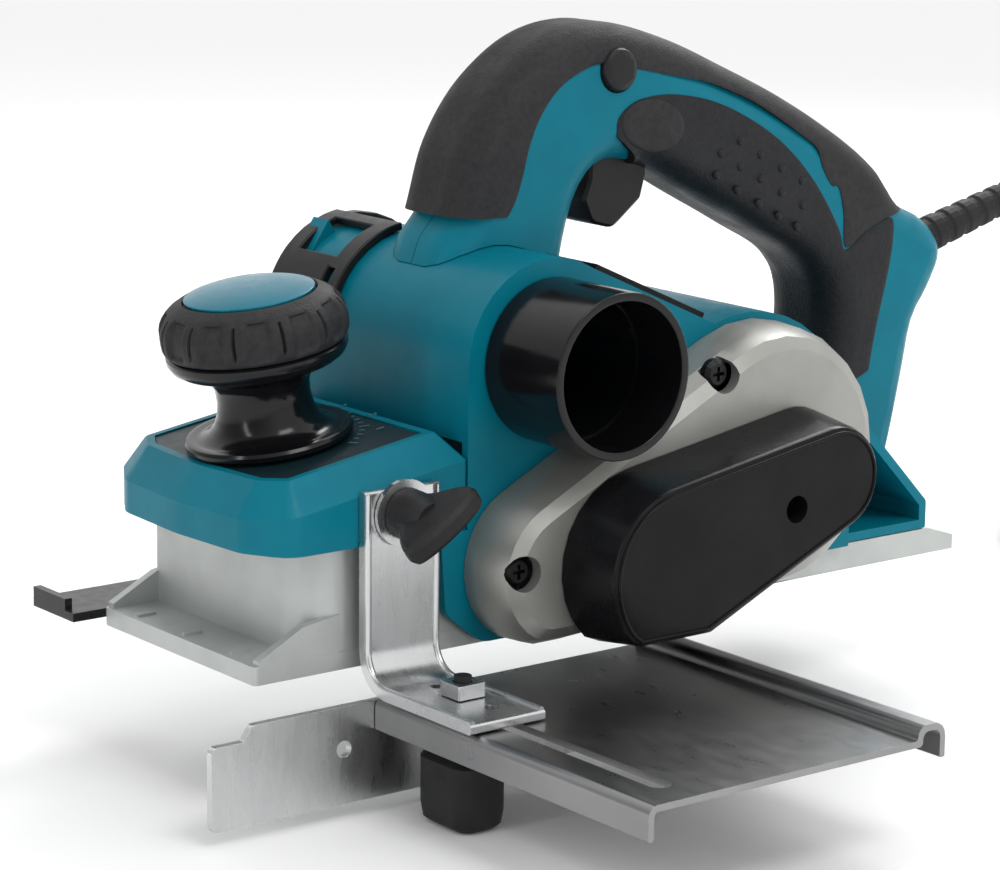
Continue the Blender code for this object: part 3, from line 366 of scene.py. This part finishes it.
def area_light(name, place, target, size, power, colour=(1.0, 1.0, 1.0)):
    data = bpy.data.lights.new(name, "AREA")
    data.shape = "RECTANGLE"
    data.size, data.size_y = size
    data.energy = power
    data.color = colour
    lamp = bpy.data.objects.new(name, data)
    lamp.location = place
    lamp.rotation_euler = (Vector(target) - Vector(place)).to_track_quat("-Z", "Y").to_euler()
    bpy.context.scene.collection.objects.link(lamp)


def sky():
    """A white surround that darkens towards the front of the tool."""
    world = bpy.data.worlds.new("studio")
    bpy.context.scene.world = world
    world.use_nodes = True
    tree = world.node_tree
    place = tree.nodes.new("ShaderNodeTexCoord")
    split = tree.nodes.new("ShaderNodeSeparateXYZ")
    tree.links.new(place.outputs["Generated"], split.inputs["Vector"])
    shift = tree.nodes.new("ShaderNodeMath")
    shift.operation = "MULTIPLY_ADD"
    shift.inputs[1].default_value = 0.5
    shift.inputs[2].default_value = 0.5
    tree.links.new(split.outputs["X"], shift.inputs[0])
    shade = ramp(tree, shift.outputs["Value"], [(0.0, grey(0.3)), (0.5, grey(1.0))])
    shade.node.color_ramp.interpolation = "EASE"
    tree.links.new(shade, tree.nodes["Background"].inputs["Color"])
    tree.nodes["Background"].inputs["Strength"].default_value = 1.12


def studio():
    """The pale floor, the sky and three soft lamps."""
    bm = bmesh.new()
    z = (FLOOR_Z - 0.15) / 1000.0
    corners = [bm.verts.new(p) for p in ((-8, -8, z), (8, -8, z), (8, 8, z), (-8, 8, z))]
    bm.faces.new(corners)
    mesh = bpy.data.meshes.new("floor")
    bm.to_mesh(mesh)
    bm.free()
    made, tree, shader = blank("floor", (0.93, 0.93, 0.93), 0.8)
    mesh.materials.append(made)
    floor = bpy.data.objects.new("floor", mesh)
    bpy.context.scene.collection.objects.link(floor)
    sky()
    area_light("key", (-0.1, -1.1, 1.5), (0.0, 0.0, 0.05), (0.7, 0.5), 7.0)
    area_light("edge", (-1.3, -0.1, 0.5), (-0.1, 0.0, 0.08), (0.12, 0.9), 2.5)
    area_light("rim", (0.9, 0.5, 1.0), (0.0, 0.0, 0.08), (0.6, 0.6), 8.0)
    bpy.context.scene.view_settings.view_transform = "Standard"


# ---- cord ---------------------------------------------------------------------------------
CORD_D = 7.5
COIL_CENTRE = (472.5, 39.0)
GUARD_START = (302.5, 0.0, 99.0)
GUARD_RISE = math.radians(15.0)


def lead_points():
    """The free part of the lead, from the guard down to the surface."""
    way = Vector((math.cos(GUARD_RISE), 0.0, math.sin(GUARD_RISE)))
    start = tuple(Vector(GUARD_START) + way * 54.0)
    end = tuple(Vector(GUARD_START) + way * 55.9)
    points = [end, (372.0, -0.2, 118.6), (390.0, -1.6, 117.2), (406.0, -4.6, 109.5),
              (417.5, -8.6, 95.0), (423.5, -12.8, 75.0), (425.8, -16.8, 52.0),
              (425.8, -20.0, 30.0), (425.2, -22.0, 10.0), (424.6, -21.8, -8.0),
              (424.2, -17.0, -23.0), (424.0, -7.5, -33.6),
              (424.0, 5.0, FLOOR_Z + CORD_D / 2.0 + 0.2),
              (424.0, 10.0, FLOOR_Z + CORD_D / 2.0 + 0.2)]
    return [start] + spline(points, 3)


def ease(t):
    return 0.5 - 0.5 * math.cos(math.pi * min(max(t, 0.0), 1.0))


def coil_points():
    """The stored turns: three flat spirals, one on another, then the run to the plug."""
    low, gap, inner, outer = FLOOR_Z + CORD_D / 2.0 + 0.2, CORD_D, 33.5, 48.5
    stages = [(720.0, outer, inner, low, low), (100.0, inner, inner, low, low + gap),
              (720.0, inner, outer, low + gap, low + gap),
              (100.0, outer, outer, low + gap, low + 2 * gap),
              (720.0, outer, inner, low + 2 * gap, low + 2 * gap),
              (100.0, inner, inner, low + 2 * gap, low + 3 * gap),
              (183.1, inner, outer, low + 3 * gap, -12.0)]
    angle, points = 180.0, [(COIL_CENTRE[0] - outer, 26.0, low)]
    for turn, r0, r1, z0, z1 in stages:
        steps = max(6, round(turn / 12.0))
        soft = turn < 400.0
        for k in range(steps):
            t = k / steps
            mix = ease(t) if soft else t
            a = math.radians(angle - turn * t)
            r = r0 + (r1 - r0) * mix
            points.append((COIL_CENTRE[0] + r * math.cos(a), COIL_CENTRE[1] + r * math.sin(a),
                           z0 + (z1 - z0) * ease(t)))
        angle -= turn
    leave = math.radians(56.9)
    centre = (COIL_CENTRE[0] + 16.5 * math.cos(leave), COIL_CENTRE[1] + 16.5 * math.sin(leave))
    for k in range(6):
        a = leave * (1.0 - k / 5.0)
        points.append((centre[0] + 32.0 * math.cos(a), centre[1] + 32.0 * math.sin(a), -12.0))
    return points


def cord():
    """The lead as one curve, which stands for the CAD tube and coil."""
    route = [mm(*p) for p in lead_points() + coil_points()]
    data = bpy.data.curves.new("lead", "CURVE")
    data.dimensions = "3D"
    data.bevel_depth = CORD_D / 2000.0
    data.bevel_resolution = 4
    data.use_fill_caps = True
    line = data.splines.new("POLY")
    line.points.add(len(route) - 1)
    for target, point in zip(line.points, route):
        target.co = (*point, 1.0)
    data.splines[0].use_smooth = True
    data.materials.append(CABLE)
    lead = bpy.data.objects.new("lead", data)
    bpy.context.scene.collection.objects.link(lead)
    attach(lead, "tool")
    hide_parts("cord", "cord_coil")


# ---- handle -------------------------------------------------------------------------------
OUTER = [(79.0, 88.0), (84.0, 105.0), (92.0, 126.0), (99.0, 147.5), (112.0, 165.5),
         (131.0, 178.6), (152.0, 182.3), (178.0, 176.3), (205.0, 165.3), (228.0, 155.0),
         (252.0, 142.0), (270.0, 129.5), (282.0, 116.0), (292.0, 111.5), (301.0, 104.0)]
ROUNDING = [(7.0, 0.0), (9.4, 0.35), (11.5, 0.9), (13.4, 1.9), (15.0, 3.2), (16.3, 4.7),
            (17.2, 6.4), (17.75, 8.0), (18.0, 9.5), (18.0, 90.0)]


def half_width(depth):
    """How far the handle reaches to the side at a depth below its edge."""
    for (y0, d0), (y1, d1) in zip(ROUNDING, ROUNDING[1:]):
        if depth <= d1 and d1 > d0:
            return y0 + (y1 - y0) * (depth - d0) / (d1 - d0)
    return ROUNDING[-1][0]


def nearest(point, path):
    """The distance from a point to a path in the side plane."""
    best = 1e9
    for a, b in zip(path, path[1:]):
        run = b - a
        t = min(max((point - a).dot(run) / max(run.dot(run), 1e-9), 0.0), 1.0)
        best = min(best, (point - a - run * t).length)
    return best


def wrap(name, edges, sides, proud, under, finish):
    """Soft skin over an edge of the handle, from the edge points to the side points."""
    path = [Vector(e) for e in edges]
    shares = [0.0, 0.015, 0.04, 0.08, 0.13, 0.2, 0.28, 0.38, 0.5, 0.62, 0.74, 0.86, 0.95, 1.0]
    rings = []
    for here, far in zip(path, (Vector(side) for side in sides)):
        toward = (far - here).normalized()
        skin = [(7.0 * k / 3.0, here - toward * proud) for k in range(3)]
        base = [(y, here + toward * (under - proud)) for y, p in skin]
        for share in shares:
            point = here + (far - here) * share
            depth = nearest(point, path)
            lift = proud * min(1.0, depth / 5.0)
            skin.append((half_width(depth) + lift, point - toward * (proud - lift)))
            base.append((half_width(depth) + lift - under, point + toward * (under - proud + lift)
                         if depth < 5.0 else point))
        skin[-1] = (skin[-1][0] - 0.3, skin[-1][1])
        ring = skin + base[::-1] + [(-y, p) for y, p in base[1:]] + [(-y, p) for y, p in skin[:0:-1]]
        rings.append([mm(p.x, y, p.y) for y, p in ring])
    bm = bmesh.new()
    bridge(bm, rings)
    return piece(name, bm, "tool", finish, 50.0)


HOOD_SIDE = [(6.0, 109.6, 125.5), (7.5, 112.8, 130.6), (9.0, 115.6, 138.5), (10.5, 118.0, 147.0),
             (12.0, 122.3, 156.0), (13.5, 129.3, 164.0), (15.0, 138.0, 168.8),
             (16.5, 145.5, 170.8), (18.0, 153.0, 170.2), (19.5, 163.0, 167.9),
             (21.0, 175.5, 165.4), (22.5, 189.5, 162.7), (24.0, 202.0, 158.5),
             (25.5, 212.0, 154.3), (27.0, 222.5, 148.4), (28.5, 231.0, 143.2),
             (30.0, 238.6, 138.0), (30.9, 241.4, 131.6), (31.8, 245.8, 125.2),
             (32.6, 249.2, 124.0), (33.4, 251.8, 115.2), (34.2, 253.1, 103.6),
             (35.0, 262.0, 108.5), (36.0, 268.5, 111.3), (37.2, 275.0, 113.2)]
INSET = [((165.0, 137.3), (152.8, 147.5)), ((167.6, 136.9), (153.6, 153.4)),
         ((171.0, 136.0), (159.6, 157.8)), ((176.0, 133.9), (167.5, 159.4)),
         ((184.0, 130.0), (177.5, 159.3)), ((196.0, 123.6), (191.5, 156.6)),
         ((210.0, 116.5), (205.5, 151.2)), ((222.0, 110.2), (219.5, 143.4)),
         ((232.0, 105.2), (229.5, 135.6)), ((238.5, 101.2), (238.2, 126.7)),
         ((243.0, 97.0), (245.0, 117.6)), ((246.3, 92.6), (250.3, 109.0)),
         ((248.0, 88.0), (253.2, 102.8)), ((248.7, 84.5), (262.0, 108.0)),
         ((249.0, 81.0), (269.0, 111.0)), ((249.0, 78.0), (274.6, 111.5)),
         ((248.7, 74.0), (275.0, 104.0)), ((248.1, 70.0), (274.0, 97.0)),
         ((247.2, 65.5), (272.4, 90.0)), ((246.2, 60.5), (270.3, 82.0)),
         ((245.3, 56.0), (267.8, 72.0)), ((244.6, 52.0), (265.6, 60.5))]


def at_index(curve, index, per_span):
    """The point on a sampled curve at a place counted in thirds of a span."""
    place = index / 3.0 * per_span
    i = min(int(place), len(curve) - 2)
    share = place - i
    a, b = Vector(curve[i]), Vector(curve[i + 1])
    return tuple(a + (b - a) * share)


def handle():
    """The soft hood, the grip inset and what is moulded on them."""
    fine = spline(OUTER, 16)
    stations = spline(HOOD_SIDE, 4)
    edges = [at_index(fine, s[0], 16) for s in stations]
    hood = wrap("grip_hood", edges, [(s[1], s[2]) for s in stations], 0.6, 2.6, HOOD)
    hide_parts("top_grip")
    inner = spline([edge for edge, side in INSET], 5)
    sides = spline([side for edge, side in INSET], 5)
    inset = wrap("grip_inset", inner, sides, 0.55, 1.8, GRIP)
    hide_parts("palm_grip_left", "palm_grip_right")
    studs()
    thumb_pads()


def studs():
    """Small raised dots on both sides of the grip."""
    dots = [(204.3, 142.8), (196.1, 139.3), (204.7, 134.4), (213.4, 137.7), (194.8, 132.3),
            (213.7, 129.7), (203.9, 126.6), (222.7, 132.5), (232.1, 127.7), (223.0, 124.5),
            (213.4, 121.5), (232.6, 119.6), (222.2, 116.8), (230.5, 112.5)]
    bm = bmesh.new()
    for side in (-1.0, 1.0):
        for x, z in dots:
            turned(bm, mm(x, side * 18.2, z), Vector((0.0, side, 0.0)),
                   [(0.0, 1.55), (0.35, 1.5), (0.7, 1.2), (0.95, 0.75), (1.05, 0.2)], 16)
    piece("grip_studs", bm, "tool", GRIP, 60.0)


def thumb_pads():
    """The oval pads behind the lock button, one on each side."""
    bm = bmesh.new()
    for side in (-1.0, 1.0):
        rings = []
        for height, share in ((0.0, 1.0), (0.55, 0.985), (0.75, 0.95), (0.85, 0.85), (0.95, 0.5),
                              (1.0, 0.12)):
            rings.append([mm(167.3 + share * (13.2 * math.cos(a) * 0.98 - 9.0 * math.sin(a) * 0.18),
                             side * (18.15 + height),
                             150.2 + share * (8.7 * math.sin(a) * 0.98 - 13.2 * math.cos(a) * 0.02))
                          for a in (2.0 * math.pi * k / 40 for k in range(40))])
        bridge(bm, rings)
    piece("thumb_pads", bm, "tool", HOOD, 40.0)


# ---- knob ---------------------------------------------------------------------------------
def knob_grip():
    """The rubber rim of the knob with its wide pads and narrow slots."""
    profile = [(30.35, 14.5), (30.35, 26.2), (30.7, 27.2), (31.6, 27.9), (33.0, 28.45),
               (35.0, 28.7), (37.5, 28.7), (39.5, 28.2), (41.2, 27.3), (42.8, 26.0),
               (44.0, 24.6), (45.0, 22.9), (45.7, 21.6), (46.1, 20.7), (45.6, 20.2),
               (44.9, 20.0), (44.9, 14.5)]
    sides = 288
    u = KNOB_AXIS.orthogonal().normalized()
    v = KNOB_AXIS.cross(u)
    foot = mm(*KNOB_FOOT)
    fine = []
    for (h0, r0), (h1, r1) in zip(profile, profile[1:] + profile[:1]):
        parts = 2 if 31.0 < h0 < 45.0 and h1 > h0 else 1
        fine += [(h0 + (h1 - h0) * k / parts, r0 + (r1 - r0) * k / parts) for k in range(parts)]
    rings = []
    for height, radius in fine:
        ring = []
        for k in range(sides):
            turn = (k / sides * 12.0) % 1.0
            pad = ease((0.27 - abs(turn - 0.5)) / 0.05) * ease((height - 32.0) / 0.9)
            pad *= ease((43.6 - height) / 0.9) * 1.25
            off = min(turn, 1.0 - turn)
            slot = ease((0.035 - off) / 0.02) * ease((height - 33.0) / 0.6)
            slot *= ease((42.6 - height) / 0.6) * 1.3
            r = radius - (pad + slot) * (1.0 if radius > 20.5 else 0.0)
            a = 2.0 * math.pi * k / sides
            ring.append(foot + KNOB_AXIS * (height / 1000.0)
                        + (u * math.cos(a) + v * math.sin(a)) * (r / 1000.0))
        rings.append(ring)
    bm = bmesh.new()
    bridge(bm, rings, closed_along=True)
    grip = piece("knob_rim", bm, "depth_knob", HOOD, 60.0)
    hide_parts("knob_grip")


def knob_core():
    """The turned black core: base ring, waist and the flare under the rim."""
    profile = [(0.5, 4.8), (0.5, 24.6), (1.0, 25.5), (2.4, 25.7), (3.3, 25.1), (3.6, 23.8),
               (3.2, 22.4), (3.5, 20.4), (4.8, 18.0), (7.0, 16.0), (10.0, 14.8), (14.0, 14.2),
               (18.0, 14.4), (20.6, 15.6), (22.4, 18.0), (23.6, 21.4), (24.6, 24.4), (26.0, 26.4),
               (28.0, 27.5), (29.6, 27.6), (30.2, 26.9), (30.2, 14.0), (44.2, 14.0), (44.2, 4.8)]
    bm = bmesh.new()
    turned(bm, mm(*KNOB_FOOT), KNOB_AXIS, profile, 96, closed=True)
    core = piece("knob_body", bm, "depth_knob", GLOSS, 40.0)
    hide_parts("knob_core")


def patch(name, radius, thick, angles, span, windows, finish, body="tool"):
    """A curved plate round the duct with windows cut in it."""
    columns = sorted({angles[0], angles[1], *(w[k] for w in windows for k in (0, 1))})
    rows = sorted({span[0], span[1], *(w[k] for w in windows for k in (2, 3))})
    columns = [a + (b - a) * k / 4.0 for a, b in zip(columns, columns[1:]) for k in range(4)]
    columns.append(angles[1])
    bm = bmesh.new()
    grid = {}

    def corner(level, i, j):
        if (level, i, j) not in grid:
            r, a = radius + level * thick, math.radians(columns[i])
            grid[level, i, j] = bm.verts.new(mm(DUCT[0] + r * math.cos(a), rows[j],
                                                DUCT[1] + r * math.sin(a)))
        return grid[level, i, j]

    def solid(i, j):
        if not (0 <= i < len(columns) - 1 and 0 <= j < len(rows) - 1):
            return False
        a, y = (columns[i] + columns[i + 1]) / 2.0, (rows[j] + rows[j + 1]) / 2.0
        return not any(w[0] < a < w[1] and w[2] < y < w[3] for w in windows)

    for i in range(len(columns) - 1):
        for j in range(len(rows) - 1):
            if not solid(i, j):
                continue
            square = [(i, j), (i + 1, j), (i + 1, j + 1), (i, j + 1)]
            bm.faces.new([corner(1, *p) for p in square])
            bm.faces.new([corner(0, *p) for p in square[::-1]])
            for k, beside in enumerate(((i, j - 1), (i + 1, j), (i, j + 1), (i - 1, j))):
                if not solid(*beside):
                    p, q = square[k], square[(k + 1) % 4]
                    bm.faces.new([corner(0, *p), corner(0, *q), corner(1, *q), corner(1, *p)])
    made = piece(name, bm, body, finish, 40.0)
    edge = made.modifiers.new("edges", "BEVEL")
    edge.width = 0.0005
    edge.segments = 2
    edge.limit_method = "ANGLE"
    edge.angle_limit = math.radians(50.0)
    return made


def duct_fittings():
    """The latch frame on the duct's far end, the outlet's black liner and its guide fins."""
    patch("latch_frame", 31.3, 2.6, (98.0, 176.0), (24.0, 60.0),
          [(108.0, 136.0, 32.0, 53.0), (143.0, 162.0, 29.0, 33.0)], BLACK)
    patch("end_band", 31.2, 1.5, (52.0, 98.0), (56.0, 60.5), [], BLACK)
    bm = bmesh.new()
    turned(bm, mm(DUCT[0], -60.0, DUCT[1]), Vector((0.0, 1.0, 0.0)),
           [(0.0, 22.5), (34.0, 22.5), (34.0, 21.9), (0.0, 22.1)], 64, closed=True)
    piece("outlet_liner", bm, "tool", GLOSS, 40.0)
    bm = bmesh.new()
    for degrees in (78.0, 92.0, 106.0):
        a = math.radians(degrees)
        out = Vector((math.cos(a), 0.0, math.sin(a)))
        aside = Vector((-math.sin(a), 0.0, math.cos(a))) * 0.0006
        centre = mm(DUCT[0], 0.0, DUCT[1])
        ring = [centre + out * r / 1000.0 + Vector((0.0, y / 1000.0, 0.0)) - aside
                for r, y in ((21.8, -66.0), (21.8, -44.0), (13.0, -44.0), (15.0, -50.0))]
        slab(bm, ring, aside * 2.0)
    piece("outlet_fins", bm, "tool", TEAL, 40.0)


def label_plate():
    """The blank black plate on the housing's sloping top."""
    start, end = Vector((124.5, 111.6)), Vector((168.5, 92.0))
    along = (end - start).normalized()
    lift = Vector((-along.y, along.x)) * 1.2
    low, high = start - lift * 0.6, end - lift * 0.6
    bm = bmesh.new()
    ring = [mm(low.x, -43.0, low.y), mm(high.x, -43.0, high.y), mm(high.x, 24.0, high.y),
            mm(low.x, 24.0, low.y)]
    slab(bm, ring, Vector((lift.x, 0.0, lift.y)) * 1.8 / 1000.0)
    piece("blank_label", bm, "tool", COVER, 40.0)


def strap_beads():
    """The rolled edges of the guide's strap."""
    face, low, bend = -49.3, -3.2, 10.0
    line = [(face, 54.0), (face, low + bend)]
    line += [(face - bend + bend * math.cos(a), low + bend - bend * math.sin(a))
             for a in (math.pi / 2.0 * k / 8.0 for k in range(1, 9))]
    line.append((-100.4, low))
    bm = bmesh.new()
    for x in (35.1, 59.9):
        tube(bm, [mm(x, y, z) for y, z in line], 0.00105, 10)
    piece("strap_beads", bm, "tool", ZINC, 60.0)


def base_ribs():
    """Three short casting ribs on the front base's flange."""
    low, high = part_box("front_base")
    bm = bmesh.new()
    for y in (-0.026, 0.0, 0.026):
        ring = [Vector((low[0] + 0.0022, y - 0.0007, 0.0042)),
                Vector((low[0] + 0.0085, y - 0.0007, 0.0042)),
                Vector((low[0] + 0.0085, y + 0.0007, 0.0042)),
                Vector((low[0] + 0.0022, y + 0.0007, 0.0042))]
        slab(bm, ring, Vector((0.0, 0.0, 0.0022)))
    piece("base_ribs", bm, "front_shoe", CAST, 40.0)


def cover_rim():
    """The raised line round the belt cover's face."""
    (x0, z0), (x1, z1) = (123.5, 25.0), (187.0, 45.5)
    r0, r1 = 24.6, 14.9
    tilt = math.atan2(z1 - z0, x1 - x0)
    spread = math.acos((r0 - r1) / math.hypot(x1 - x0, z1 - z0))
    ring = []
    for (x, z), r, first, last in (((x0, z0), r0, spread, 2.0 * math.pi - spread),
                                   ((x1, z1), r1, -spread, spread)):
        for k in range(25):
            a = tilt + first + (last - first) * k / 24.0
            ring.append(mm(x + r * math.cos(a), -88.1, max(z + r * math.sin(a), 6.3)))
    bm = bmesh.new()
    tube(bm, ring, 0.00055, 8, closed=True)
    piece("cover_rim", bm, "tool", COVER, 60.0)


def scale_marks():
    """Ticks and plain numbers on the plate round the knob."""
    foot = mm(*KNOB_FOOT)
    ahead = Vector((math.cos(TILT), 0.0, math.sin(TILT)))
    side = Vector((0.0, 1.0, 0.0))
    bm = bmesh.new()
    for k in range(17):
        a = math.radians(-64.0 + 8.0 * k)
        out = ahead * math.cos(a) + side * math.sin(a)
        aside = out.cross(KNOB_AXIS) * 0.00022
        near, far = (27.2, 30.4) if k % 4 == 0 else (27.2, 28.9)
        base = foot + KNOB_AXIS * 0.0001
        ring = [base + out * near / 1000.0 - aside, base + out * far / 1000.0 - aside,
                base + out * far / 1000.0 + aside, base + out * near / 1000.0 + aside]
        slab(bm, ring, KNOB_AXIS * 0.0001)
    for number, degrees in (("1", -40.0), ("2", -14.0), ("3", 14.0)):
        a = math.radians(degrees)
        out = ahead * math.cos(a) + side * math.sin(a)
        text = bpy.data.curves.new("figure", "FONT")
        text.body = number
        text.size = 0.0042
        text.extrude = 0.00008
        text.align_x = text.align_y = "CENTER"
        maker = bpy.data.objects.new("figure", text)
        bpy.context.scene.collection.objects.link(maker)
        bpy.context.view_layer.update()
        shape = maker.to_mesh()
        turn = Matrix((-side, ahead, KNOB_AXIS)).transposed().to_4x4()
        shape.transform(Matrix.Translation(foot + out * 0.0335 + KNOB_AXIS * 0.00015) @ turn)
        bm.from_mesh(shape)
        maker.to_mesh_clear()
        bpy.data.objects.remove(maker)
    piece("scale_marks", bm, "tool", MARK, 60.0)


# ---- finish -------------------------------------------------------------------------------
camera()
studio()
paint_nodes()
cord()
handle()
knob_grip()
knob_core()
duct_fittings()
label_plate()
cover_rim()
strap_beads()
base_ribs()
scale_marks()
for node_name, width in (("front_base", 1.0), ("front_housing", 1.6), ("main_housing", 0.8),
                         ("rear_base", 0.5), ("fence_plate", 0.3), ("fence_wall", 0.6),
                         ("guide_bracket", 0.8), ("clamp_knob_front", 0.8),
                         ("clamp_knob_under", 0.8), ("clamp_knob_far", 0.8), ("trigger", 1.0),
                         ("side_case", 0.8), ("belt_cover", 0.6), ("dust_nozzle", 0.5),
                         ("depth_stop", 0.4), ("chip_cover", 0.6), ("motor_end_cover", 0.6),
                         ("drum_end_cap", 0.6), ("square_nut", 0.5), ("lock_button", 0.4),
                         ("plug", 0.8), ("rear_foot", 0.4), ("knob_cap", 0.4),
                         ("handle_left", 0.3), ("handle_right", 0.3)):
    soften(node_name, width)
